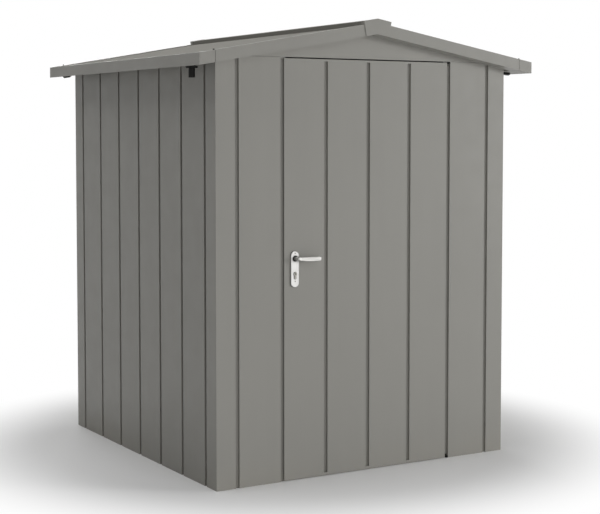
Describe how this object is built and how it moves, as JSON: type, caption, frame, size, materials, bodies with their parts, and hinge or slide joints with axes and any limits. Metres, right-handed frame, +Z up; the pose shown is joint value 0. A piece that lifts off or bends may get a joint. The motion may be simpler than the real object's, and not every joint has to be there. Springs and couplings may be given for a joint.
{
  "type": "metal tool shed",
  "caption": "Small gabled shed of grooved painted sheet metal with gutters inside its eaves and one outward-opening door with a lever handle.",
  "frame": {"origin": "centre of the footprint, on the ground", "axes": "+Z up, +Y from the door towards the back wall, +X to the right as seen from in front of the door"},
  "size_m": [1.896, 1.864, 2.193],
  "materials": {
    "painted_sheet": "satin warm grey coil coating",
    "roof_sheet": "satin warm grey coil coating",
    "frame_steel": "galvanised",
    "satin_metal": "satin",
    "hinge_steel": "zinc plated",
    "black_plastic": "moulded"
  },
  "bodies": {
    "shed": {"back_gable": "painted_sheet", "back_top_rail": "frame_steel", "back_wall": "painted_sheet", "base_rail_back": "frame_steel", "base_rail_left": "frame_steel", "base_rail_right": "frame_steel", "corner_post_back_left": "painted_sheet", "corner_post_back_right": "painted_sheet", "corner_post_front_left": "painted_sheet", "corner_post_front_right": "painted_sheet", "door_head": "frame_steel", "door_jamb_left": "frame_steel", "door_jamb_right": "frame_steel", "downspouts": "black_plastic", "front_gable": "painted_sheet", "front_panel_left": "painted_sheet", "front_panel_right": "painted_sheet", "gutter_left": "painted_sheet", "gutter_right": "painted_sheet", "hinge_bearings": "black_plastic", "left_wall": "painted_sheet", "outlet_plugs": "black_plastic", "ridge_beam": "frame_steel", "ridge_cap": "painted_sheet", "ridge_ends": "painted_sheet", "right_wall": "painted_sheet", "roof_sheet_left": "roof_sheet", "roof_sheet_right": "roof_sheet", "threshold": "frame_steel", "top_rail_left": "frame_steel", "top_rail_right": "frame_steel", "verge_back_left": "painted_sheet", "verge_back_right": "painted_sheet", "verge_front_left": "painted_sheet", "verge_front_right": "painted_sheet"},
    "door": {"door_frame": "frame_steel", "door_skin": "painted_sheet", "handle_plate_inside": "satin_metal", "handle_plate_outside": "satin_metal", "hinge_pins": "hinge_steel", "latch_forend": "hinge_steel", "lock_case": "hinge_steel", "lock_cylinder": "satin_metal"},
    "lever": {"lever_inside": "satin_metal", "lever_outside": "satin_metal"}
  },
  "joints": [
    {"name": "door_hinge", "type": "hinge", "parent": "shed", "child": "door", "pos_m": [0.48, -0.8465, 0], "axis": [0, 0, 1], "range_deg": [0, 105]},
    {"name": "lever_turn", "type": "hinge", "parent": "door", "child": "lever", "pos_m": [-0.415, -0.85, 1.058], "axis": [0, 1, 0], "range_deg": [0, 40], "stiffness_Nm_per_rad": 0.6, "springref_deg": -57.3}
  ]
}
